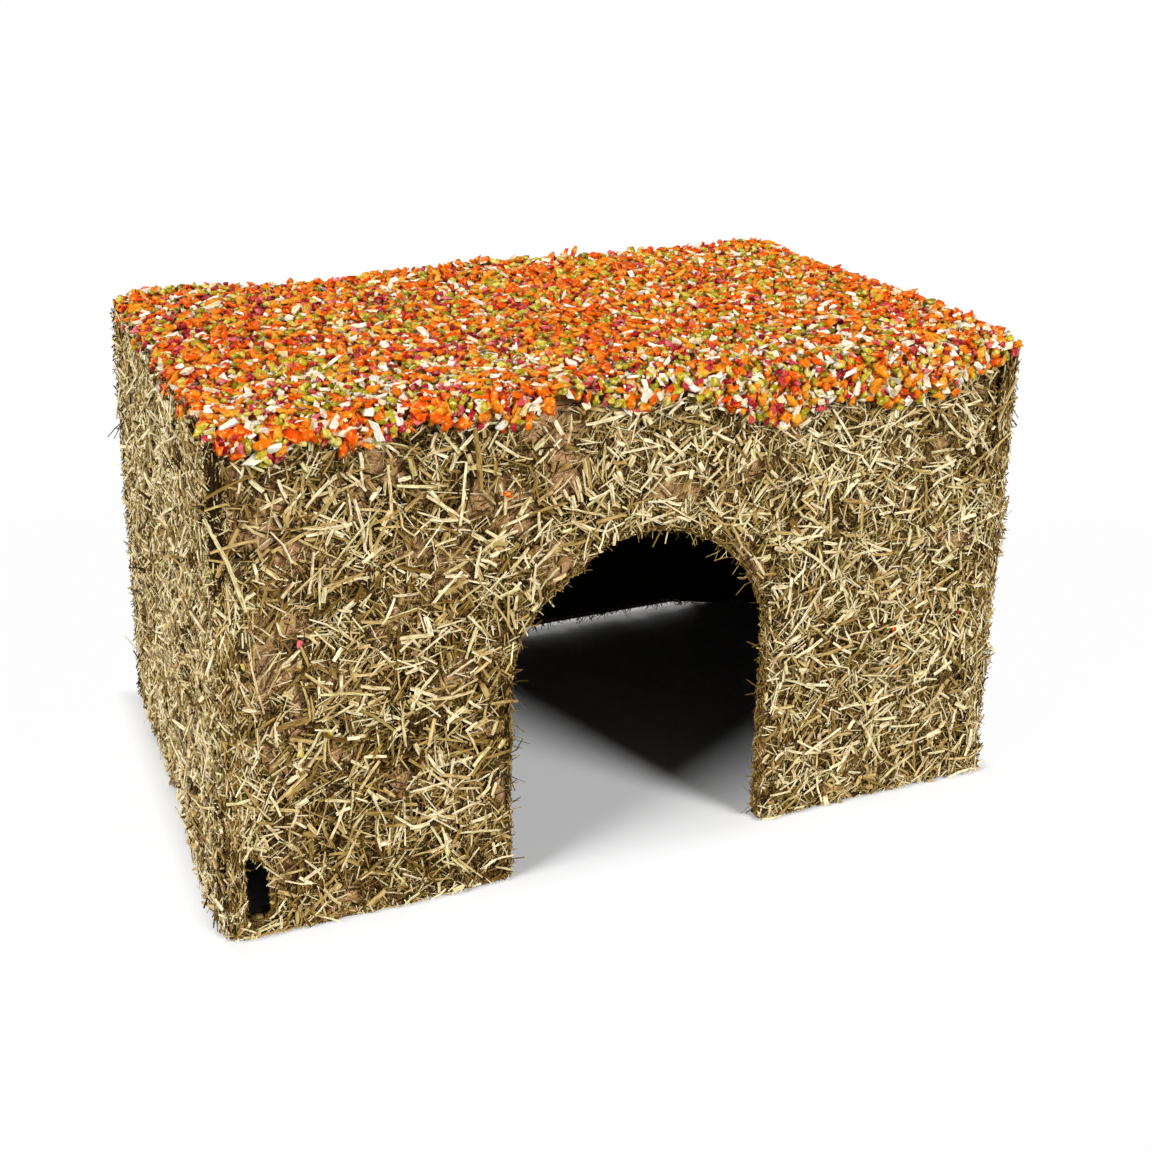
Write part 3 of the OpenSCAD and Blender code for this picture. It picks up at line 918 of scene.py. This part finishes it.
def rim_stems(count, seed, poking):
    """Stems along the doorway's edge: most lie on it, and the poking ones stand out of it."""
    draw = new_draw(seed)
    half = SPRING + DOOR_R * math.pi / 2 - 1
    run = draw.uniform(-half, half, count)
    x, z, along, into = arch_at(run)
    y = draw.uniform(-HALF_D + 0.2, -END_OUT if poking else -END_IN - 0.2, count)
    deep = np.array([0.0, 1.0, 0.0])
    if poking:
        length = drawn_lengths(draw, 5.5, 0.4, 3, 12, count)
        lie = into + along * draw.normal(0, 0.8, (count, 1))
        lie = lie - deep * draw.normal(0.2, 0.3, (count, 1))
        off = length / 2 - 2.0
        width = draw.uniform(0.25, 0.8, count)
    else:
        length = drawn_lengths(draw, 4.6, 0.4, 2, 10, count)
        yaw = draw.normal(0, 0.8, (count, 1))
        lie = along * np.cos(yaw) + deep * np.sin(yaw) + into * draw.normal(0, 0.12, (count, 1))
        off = draw.uniform(-0.4, 0.9, count)
        width = draw.uniform(0.35, 1.0, count)
    lie = unit(lie)
    centre = columns(x, y, z) + into * (off + hay_hang(x, z))[:, None]
    good = centre[:, 2] - np.abs(lie[:, 2]) * length / 2 > CLEAR
    good &= centre[:, 1] + np.abs(lie[:, 1]) * length / 2 < -END_IN + 1.5
    stems = dict(
        centre=centre, along=lie, across=np.cross(lie, into) + 0.2 * along, length=length,
        width=width, thick=width * draw.uniform(0.3, 0.6, count),
        bow=length * draw.normal(0, 0.08, count), lift=length * draw.normal(0, 0.04, count),
        taper=draw.uniform(0, 1, count), tint=drawn_tints(draw, 0.5, 0.24, count),
    )
    return picked(stems, good)


def back_fringe(count, seed):
    """Hay that hangs from the back wall's lower edge."""
    draw = new_draw(seed)
    x = draw.uniform(-END_HALF + 10, END_HALF - 10, count)
    length = drawn_lengths(draw, 3.4, 0.45, 1.5, 8, count)
    lie = columns(draw.normal(0, 0.9, count), draw.normal(0, 0.3, count), np.full(count, -0.7))
    lie = unit(lie)
    drop = np.abs(lie[:, 2]) * length / 2
    z = np.maximum(back_lift(x) + 1.0 - 0.8 * drop, drop + CLEAR)
    width = draw.uniform(0.3, 0.8, count)
    return dict(
        centre=columns(x, draw.uniform(END_OUT, HALF_D + 1, count), z), along=lie,
        across=np.tile([1.0, 0.2, 0.1], (count, 1)), length=length, width=width, thick=0.5 * width,
        bow=length * draw.normal(0, 0.1, count), lift=np.zeros(count),
        taper=draw.uniform(0, 1, count), tint=drawn_tints(draw, 0.4, 0.24, count),
    )


add_stems("back_fringe", back_fringe(900, 55), 3, 3, hay)
doorway_stems = joined(rim_stems(2600, 51, False), rim_stems(260, 52, True))
add_stems("doorway_hay", doorway_stems, 3, 3, hay)
CORNERS = (  # wall, side and seed
    (front_corners, -1, 61), (front_corners, 1, 63), (back_corners, -1, 65), (back_corners, 1, 67),
)
SHADE_PAINTED_CORNER = 61  # seed of the left front corner, whose upper edge is painted shade
SLIT_LOW = 147  # the height above which that corner's edge is painted shade
SLIT_END = -166.6  # how far in the painted shade goes there
EDGE_LOW = 0.6  # where the hay of the corners starts over the floor
corner_stems = []
for wall, side, seed in CORNERS:
    edge = sorted((side * SIDE_IN, side * (HALF_W + 1)))
    slit = sorted((side * (END_HALF - 4), side * (SIDE_IN + 4)))
    if seed == SHADE_PAINTED_CORNER:
        upper = (SLIT_LOW - 4, ROOF_TOP)
        rows = (
            ((*edge, EDGE_LOW, SLIT_LOW), 1850, seed, EDGE),
            ((edge[0], SLIT_END, *upper), 700, seed + 10, PAINTED_SHADE_EDGE),
            ((SLIT_END, edge[1], *upper), 120, seed + 12, EDGE),
            ((*edge, *upper), 170, seed + 11, PALE_EDGE),
        )
    else:
        rows = (((*edge, EDGE_LOW, ROOF_TOP), 2600, seed, EDGE),)
    corner_stems += [scatter(wall, corner_overhang, flat_ground, *row) for row in rows]
    bridge = ((*slit, 30, 160), 520, seed + 1, BRIDGE)
    corner_stems.append(scatter(wall, seam_overhang, flat_ground, *bridge))
shade = ((END_HALF, HALF_W, 140, 194), 420, 69, SHADE)
corner_stems.append(scatter(front_corners, slit_overhang, flat_ground, *shade))
add_stems("corner_hay", joined(*corner_stems), 2, 3, hay)


def placed_stems(rows):
    """Single stems that stand out, each from one point to another: ends, width and tint."""
    first, last, width, tint = (np.array(column, float) for column in zip(*rows))
    length = np.linalg.norm(last - first, axis=1)
    none = np.zeros(len(rows))
    return dict(
        centre=(first + last) / 2, along=last - first,
        across=np.tile([0.3, 0.2, 0.93], (len(rows), 1)), length=length, width=width,
        thick=0.6 * width, bow=0.03 * length, lift=none, taper=none + 0.5, tint=tint,
    )


FACE = -HALF_D - 2.0
SINGLE_STEMS = (
    ((-72.3, FACE, 194.0), (-70.0, FACE, 169.6), 2.6, 0.6),
    # The next stem is near black, just behind and left of the pale one above it: painted shade
    # along that stem's side.
    ((-75.4, FACE + 0.6, 193.5), (-73.2, FACE + 0.6, 171.5), 2.0, -0.3),
    ((-172.9, FACE, 173.5), (-159.8, FACE - 0.8, 136.3), 1.9, 0.95),
    ((-172.0, FACE, 181.0), (-156.0, FACE, 187.0), 1.6, 0.45),
    ((-172.5, FACE, 176.5), (-164.5, FACE - 0.4, 178.0), 1.2, 0.8),
    ((-172.0, FACE - 0.3, 158.0), (-165.5, FACE, 155.5), 1.1, 0.7),
    ((-171.5, FACE, 160.5), (-155.0, FACE - 0.5, 163.0), 1.5, 0.72),
    ((-169.5, FACE, 151.0), (-161.0, FACE, 168.0), 2.0, 0.66),
    ((171.0, FACE, 163.0), (158.0, FACE - 0.5, 152.0), 1.0, 0.8),
    ((170.5, FACE, 186.0), (163.5, FACE, 168.0), 1.5, 0.85),
    ((172.0, FACE, 178.0), (156.0, FACE - 0.5, 170.0), 1.1, 0.6),
    ((-177.8, HALF_D, 137.7), (-170.5, HALF_D - 2, 145.5), 0.6, 0.02),
    ((-175.0, HALF_D, 136.5), (-170.5, HALF_D - 2, 144.5), 0.5, 0.02),
    ((-173.5, HALF_D, 139.0), (-170.5, HALF_D - 2, 148.0), 0.5, 0.02),
)
add_stems("single_stems", placed_stems(SINGLE_STEMS), 3, 4, straw)


# The roof's bed of paste. Its outside runs from the front lip over the top to the back lip

TOP_RUN = 2 * (HALF_D - EDGE_R)
ARC_RUN = math.pi / 2 * EDGE_R
BED_T = 3.3  # thickness of the bed
LIP_WAVES = (
    (60, 9, 4), (113, 10, 3.5), (-116, 7, 2.5), (-59, 6, 2.5), (-88, 10, -2.5), (-37, 10, -3),
)
BACK_WAVES = ((-150, 25, 1.5), (-88, 30, -1.6), (14, 35, 1.4), (150, 18, 1.2))
RIGHT_WAVES = ((-45, 42, 2.6), (60, 30, -0.8))


def roof_profile(run):
    """The point (y, z) at a distance along the outside, counted from the middle of the top towards
    the back, and the outward direction there."""
    side, far = np.sign(run), np.abs(run)
    turn = np.clip((far - TOP_RUN / 2) / EDGE_R, 0, math.pi / 2)
    down = np.maximum(0, far - TOP_RUN / 2 - ARC_RUN)
    y = np.minimum(far, TOP_RUN / 2) + EDGE_R * np.sin(turn)
    z = PASTE_TOP - EDGE_R * (1 - np.cos(turn)) - down
    return side * y, z, side * np.sin(turn), np.cos(turn)


def run_at(drop):
    """The distance along the outside, from the middle of the top, at which it is this far down."""
    turn = np.arccos(1 - np.clip(drop, 0, EDGE_R) / EDGE_R)
    return TOP_RUN / 2 + EDGE_R * turn + np.maximum(0, drop - EDGE_R)


def front_drop(x):
    """How far below the roof's top the vegetables reach down the front, along the front."""
    drop = 4.0 + 5.5 * lattice_noise(x + ROOF_SHIFT, x * 0, 0, 14, 61)
    drop = drop + 10.5 * step_between(x, 18, 52) - 7.5 * step_between(x, 128, 158)
    return drop + bells(x, LIP_WAVES)


def back_drop(x):
    return 6 + 6 * lattice_noise(x + ROOF_SHIFT, x * 0, 0, 16, 62)


def roof_rise(x, y):
    """How much higher than the paste the roof lies: waves, with rises at the back and right."""
    waves = 1.6 * (lattice_noise(x, y, ROOF_SHIFT, 55, 71) - 0.5)
    back = bells(x, BACK_WAVES) * step_between(y, 30, 95)
    return -0.1 + waves + back + bells(y, RIGHT_WAVES) * step_between(x, 105, 165)


def add_bed():
    """The paste under the vegetables, folded over the front and back edges as far as they reach."""
    width = np.linspace(-PASTE_HALF_W, PASTE_HALF_W, 100)
    x, share = np.meshgrid(width, np.linspace(0, 1, 76), indexing="ij")
    front_run, back_run = run_at(front_drop(x) - 3.5), run_at(back_drop(x) - 3)
    run = -front_run + share * (front_run + back_run)
    y, z, out_y, out_z = roof_profile(run)
    middle = columns(x, y, z)
    out = columns(np.zeros_like(x), out_y, out_z)
    uneven = -1.0 + 1.6 * lattice_noise(x, run, ROOF_SHIFT, 3.3, 65)
    outer = middle + out * np.maximum(uneven + roof_rise(x, y) * out_z, -2.6)[..., None]
    cell = np.ones((x.shape[0] - 1, x.shape[1] - 1), bool)
    across = (x + PASTE_HALF_W) / (2 * PASTE_HALF_W)
    add_sheet(
        "roof_bed", outer, middle - out * BED_T, cell, across, share, np.zeros_like(x),
        columns(x, run, x * 0), bed, ("roof_paste",),
    )


# Dried vegetables on it


def ball_points():
    """Points and triangles of a ball of twenty faces."""
    long = (1 + math.sqrt(5)) / 2
    corners = ((-1, long, 0), (1, long, 0), (-1, -long, 0), (1, -long, 0))
    points = [np.roll(corner, turn) for turn in range(3) for corner in corners]
    faces = [
        (0, 11, 5), (0, 5, 1), (0, 1, 7), (0, 7, 10), (0, 10, 11), (1, 5, 9), (5, 11, 4),
        (11, 10, 2), (10, 7, 6), (7, 1, 8), (3, 9, 4), (3, 4, 2), (3, 2, 6), (3, 6, 8), (3, 8, 9),
        (4, 9, 5), (2, 4, 11), (6, 2, 10), (8, 6, 7), (9, 8, 1),
    ]
    return unit(np.array(points, float)), np.array(faces)


def block_points(sides):
    """Points and quads of a cube whose faces are cut into squares, with no point inside it."""
    lines = np.linspace(-1, 1, sides + 1)
    index, quads = {}, []

    def at(*key):
        return index.setdefault(key, len(index))

    for a in range(sides):
        for b in range(sides):
            square = ((a, b), (a + 1, b), (a + 1, b + 1), (a, b + 1))
            for flat in (0, sides):
                order = square if flat else square[::-1]
                quads.append([at(p, q, flat) for p, q in order])
                quads.append([at(flat, p, q) for p, q in order])
                quads.append([at(q, flat, p) for p, q in order])
    return lines[np.array(list(index))], np.array(quads)


def add_lumps(name, lumps, form, boxy, rough, smooth, material, slot, seed, replaced=()):
    """Many flakes in one object. Each is a rounded block with its corners moved at random.
    lumps holds arrays: centre, frame (three rows of axes), size (three half lengths), tint."""
    base, sides = form
    base = unit(base) * (1 - boxy) + base * boxy * 0.8
    count = len(lumps["centre"])
    draw = new_draw(seed)
    shape = base[None] * (1 + rough * draw.normal(0, 1, (count, len(base), 1)))
    shape = shape + 0.6 * rough * draw.normal(0, 1, (count, len(base), 3))
    skew = draw.normal(0, 0.3, (count, 3))
    shape[:, :, 0] += skew[:, None, 0] * shape[:, :, 1]
    shape[:, :, 2] += skew[:, None, 1] * shape[:, :, 0] * 0.6
    shape[:, :, 1] *= 1 + 0.4 * skew[:, None, 2] * shape[:, :, 0]
    local = shape * lumps["size"][:, None, :]
    points = lumps["centre"][:, None, :] + np.einsum("npi,nij->npj", local, lumps["frame"])
    corners = sides.shape[1]
    faces = [(np.arange(count)[:, None, None] * len(base) + sides[None]).reshape(-1, corners)]

    corner, side = cells(count)
    at, wide = cells(len(sides))
    square = np.array([[0.06, 0.06], [0.94, 0.06], [0.94, 0.94], [0.06, 0.94]])[:corners] * wide
    face_uv = 0.03 + 0.94 * (at[:, None, :] + square[None])
    corner_uv = (corner[:, None, None, :] + side * face_uv[None]).reshape(-1, 2)

    points, tint = points.reshape(-1, 3), np.repeat(lumps["tint"], len(base))
    grain = (local + draw.random((count, 1, 3)) * 200).reshape(-1, 3)
    add_piece(name, points, faces, corner_uv, tint, grain, material, smooth, replaced)


def roof_places(pitch, seed, keep=1.0):
    """Places of flakes on the roof and over its edges, in loose staggered rows, and the way out."""
    draw = new_draw(seed)
    half_run = TOP_RUN / 2 + ARC_RUN + 22
    reach = HALF_W + 2
    rows = np.arange(-half_run, half_run, pitch * 0.87)
    x, run = np.meshgrid(np.arange(-reach, reach, pitch), rows)
    x = x + (np.arange(len(rows)) % 2)[:, None] * pitch / 2
    x, run = x.ravel(), run.ravel()
    x = x + draw.normal(0, pitch * 0.3, len(x))
    run = run + draw.normal(0, pitch * 0.3, len(x))
    y, z, out_y, out_z = roof_profile(run)
    drop = PASTE_TOP - z
    limit = np.where(run < 0, front_drop(x), back_drop(x))
    inside = drop < limit + draw.normal(0, 1.2, len(x))
    edge_x = np.where(drop > 4, SIDE_IN, HALF_W + np.where(x < 0, -1.2, 0.6))
    inside &= np.abs(x) < edge_x + draw.normal(0, 0.8, len(x))
    inside &= draw.random(len(x)) < keep
    edge = step_between(np.abs(x), PASTE_HALF_W - 3, HALF_W)
    centre = columns(x, y, z - 0.6 * edge)
    out = unit(columns(np.sign(x) * 0.5 * edge, out_y, out_z))
    return centre[inside], out[inside], draw


def side_places(count, seed):
    """A few flakes that hang over the top edges of the side walls."""
    draw = new_draw(seed)
    side = np.where(draw.random(count) < 0.5, -1.0, 1.0)
    y = draw.uniform(-HALF_D + 4, HALF_D - 4, count)
    z = ROOF_TOP - np.minimum(draw.exponential(2.2, count), 9)
    centre = columns(side * (HALF_W + draw.uniform(-0.6, 0.8, count)), y, z)
    out = columns(side, draw.normal(0, 0.2, count), draw.uniform(0.1, 0.6, count))
    return centre, unit(out), draw


def front_places(pitch, seed):
    """More flakes along the front edge, where they fold over it."""
    centre, out, draw = roof_places(pitch, seed)
    near = centre[:, 1] < -HALF_D + 3
    return centre[near], out[near], draw


def stray_places(seed):
    """Single flakes that stick to the front and left walls, and their kinds."""
    front = [
        (0, -58.8, 166), (0, -60.1, 193.8), (3, -140.3, 118.9), (1, -161.6, 113.6),
        (1, -130.1, 79.9), (1, -141.8, 73.9), (0, 120.8, 79.2), (3, 154.1, 82), (3, 116.6, 18.5),
        (1, 157.5, 66), (1, 111, 47.1),
    ]
    left = [(3, -17.5, 196), (3, -23, 194), (1, -40.4, 192), (1, -62, 197)]
    centre = [(x, -HALF_D - 0.4, z) for _, x, z in front]
    centre += [(-HALF_W - 0.8, y, z) for _, y, z in left]
    out = [(0.0, -1.0, 0.0)] * len(front) + [(-1.0, 0.0, 0.0)] * len(left)
    kinds = np.array([row[0] for row in front + left])
    return (np.array(centre), np.array(out), new_draw(seed)), kinds


def kind_shares(draw, centre):
    """The kind of each flake: more carrot to the right rear, more parsnip along the front edge."""
    x, y = centre[:, 0], centre[:, 1]
    front = step_between(-y, 0, 100)
    roll = draw.random(len(centre))
    cloud = lattice_noise(x, y, KIND_SHIFT, 38, 73) - 0.5
    carrot = 0.41 - 0.05 * front + 0.3 * cloud + 0.1 * step_between(x, -60, 60) * (1 - front)
    pea = carrot + 0.26 - 0.14 * cloud
    parsnip = pea + 0.145 + 0.08 * front - 0.1 * cloud
    return np.where(roll < carrot, 0, np.where(roll < pea, 1, np.where(roll < parsnip, 2, 3)))


SIZES = np.array([  # least and greatest sizes of each kind of flake
    ((3.0, 2.6, 1.4), (7.2, 5.6, 2.8)),
    ((3.1, 2.7, 1.6), (5.4, 4.8, 2.8)),
    ((2.7, 1.9, 1.1), (7.6, 3.9, 2.1)),
    ((2.9, 2.4, 1.5), (5.3, 4.5, 2.7)),
])


def lie_flakes(places, lift, tilt, kind_of=None, scale=1.0):
    """Gives each flake its kind, size and lie."""
    centre, out, draw = places
    x, y = centre[:, 0], centre[:, 1]
    count = len(centre)
    kind_of = kind_shares(draw, centre) if kind_of is None else kind_of
    first = unit(np.cross(out, [0.2, 0.9, 0.15]))
    second = np.cross(out, first)
    yaw = draw.uniform(0, 2 * math.pi, (count, 1))
    lie = first * np.cos(yaw) + second * np.sin(yaw)
    lean = draw.normal(0, tilt, (count, 2))
    tipped = unit(out + first * lean[:, :1] + second * lean[:, 1:])
    lie = unit(lie - tipped * np.sum(lie * tipped, axis=1, keepdims=True))
    wave = roof_rise(x, y) * np.clip(out[:, 2], 0, 1)
    settled = 1 - 0.55 * step_between(np.abs(x), PASTE_HALF_W - 5, HALF_W)
    low, most = SIZES[kind_of, 0], SIZES[kind_of, 1]
    share = draw.random((count, 3))
    larger = 0.92 + 0.16 * step_between(-y, 84, 104) * step_between(-x, 40, 120)
    return dict(
        centre=centre + out * ((draw.uniform(*lift, count) + wave) * settled)[:, None],
        frame=np.stack([lie, np.cross(tipped, lie), tipped], axis=1),
        size=(low + (most - low) * share) * (scale * larger / 2)[:, None],
        tint=np.clip(draw.normal(0.55, 0.28, count) + 0.06 * step_between(-y, 20, 90), 0, 1),
        kind=kind_of,
    )


add_bed()
stray, stray_kinds = stray_places(95)
over = joined(
    lie_flakes(roof_places(4.1, 82, 0.9), (2.4, 4.4), 0.34),
    lie_flakes(side_places(80, 83), (-0.2, 0.8), 0.4),
    lie_flakes(front_places(3.1, 86), (0.6, 3.2), 0.6),
    lie_flakes(stray, (0.0, 0.3), 0.2, stray_kinds, 0.8),
)
under = lie_flakes(roof_places(3.1, 81), (0.0, 2.4), 0.3)
FORMS = (  # kind, node, form, how boxy and rough it is, and if smooth
    ("carrot", "carrot_flakes", block_points(2), 0.3, 0.26, True),
    ("pea", "pea_flakes", ball_points(), 0.0, 0.22, True),
    ("parsnip", "parsnip_chips", block_points(1), 0.9, 0.18, False),
    ("beetroot", "beetroot_bits", ball_points(), 0.0, 0.2, True),
)
for index, (kind, node, *form) in enumerate(FORMS):
    material = vegetables[kind]
    upper, lower = (picked(layer, layer["kind"] == index) for layer in (over, under))
    add_lumps(kind + "_lumps", upper, *form, material, kind, 91, (node,))
    add_lumps(kind + "_under", lower, block_points(1), 0.8, 0.2, False, material, kind, 93)
crumbs = lie_flakes(roof_places(5.4, 84), (1.4, 4.4), 0.8, None, 0.42)
share = 0.2 + 0.8 * step_between(-crumbs["centre"][:, 1], 0, 95)
crumbs = picked(crumbs, new_draw(85).random(len(share)) < share)
crumb_form = (block_points(1), 0.7, 0.16, False)
add_lumps("pale_crumbs", crumbs, *crumb_form, vegetables["parsnip"], "parsnip", 92)


# Finish of the CAD parts that show

for name in nodes:
    for ending, material in (("_board", kraft), ("_seam", seam_paste), ("_glue", glue)):
        if name.endswith(ending):
            nodes[name].data.materials.clear()
            nodes[name].data.materials.append(material)


# Floor, lamps and camera, in metres

FLOOR_HALF = 9.0
FLOOR_LIT, FLOOR_SEEN = [0.5, 0.5, 0.5, 1], [0.97, 0.97, 0.97, 1]  # for bounced and for seen light
FADE_RUN, FADE_MOST = 0.012, 0.96  # the floor's fade past the house


def make_floor():
    """A white floor. Away from the house it fades to plain white for the camera."""
    mesh = bpy.data.meshes.new("floor")
    corners = [(x * FLOOR_HALF, y * FLOOR_HALF, 0) for x, y in ((-1, -1), (1, -1), (1, 1), (-1, 1))]
    mesh.from_pydata(corners, [], [(0, 1, 2, 3)])
    floor = add_object("floor", mesh)
    look = Look("floor")
    seen = look.seen_rays()
    look.finish(look.mix(seen, FLOOR_LIT, FLOOR_SEEN), 0.9, 0.1)
    x, y, _ = look.parts(look.place())
    past = look.calc("MAXIMUM", *(
        look.calc("SUBTRACT", look.calc("ABSOLUTE", way), half * MM)
        for way, half in ((x, HALF_W), (y, HALF_D))
    ))
    fade = look.calc("MULTIPLY", seen, look.remap(past, 0.0, FADE_RUN, 0.0, FADE_MOST))
    white = look.add("Emission", {})[0]
    blend = look.add("MixShader", {0: fade, 1: look.surface.outputs[0], 2: white})[0]
    look.put(look.tree.nodes["Material Output"].inputs["Surface"], blend)
    mesh.materials.append(look.material)


def make_world(level):
    world = bpy.data.worlds.new("studio")
    bpy.context.scene.world = world
    world.use_nodes = True
    sky = Nodes(world.node_tree)
    background = sky.tree.nodes["Background"]
    sky.put(background.inputs["Color"], (255, 255, 255))
    sky.put(background.inputs["Strength"], sky.remap(sky.seen_rays(), 0, 1, level, 1.0))


def make_lamp(name, towards, height_angle, level, softness):
    """A distant lamp in this direction from the house; level 1 lights a white card fully."""
    lamp = bpy.data.lights.new(name, "SUN")
    lamp.energy = level * math.pi
    lamp.angle = math.radians(softness)
    holder = add_object(name, lamp)
    flat = Vector((*towards, 0)).normalized() * math.cos(math.radians(height_angle))
    source = Vector((flat.x, flat.y, math.sin(math.radians(height_angle))))
    holder.rotation_euler = source.to_track_quat("Z", "Y").to_euler()


def make_camera():
    data = bpy.data.cameras.new("camera")
    data.sensor_width = 36.0
    data.lens = 49.44
    data.shift_x = 0.0812
    data.shift_y = -0.1623
    data.clip_end = 50.0
    camera = add_object("camera", data)
    right = Vector((0.932408, -0.361406, 0.000708))
    down = Vector((-0.10818, -0.280965, -0.953601))
    forward = Vector((0.344836, 0.889069, -0.301071))
    eye = Vector((-0.26694, -0.61225, 0.38145))
    turn = Matrix((right, -down, -forward)).transposed().to_4x4()
    camera.matrix_world = Matrix.Translation(eye) @ turn
    bpy.context.scene.camera = camera


make_floor()
make_world(0.04)
make_lamp("front_right_lamp", (0.505, -0.863), 26, 1.0, 22)
make_lamp("left_lamp", (-0.974, -0.225), 24.5, 1.05, 26)
make_lamp("back_lamp", (-0.15, 0.99), 26, 0.42, 40)
make_camera()
bpy.context.scene.view_settings.view_transform = "Standard"
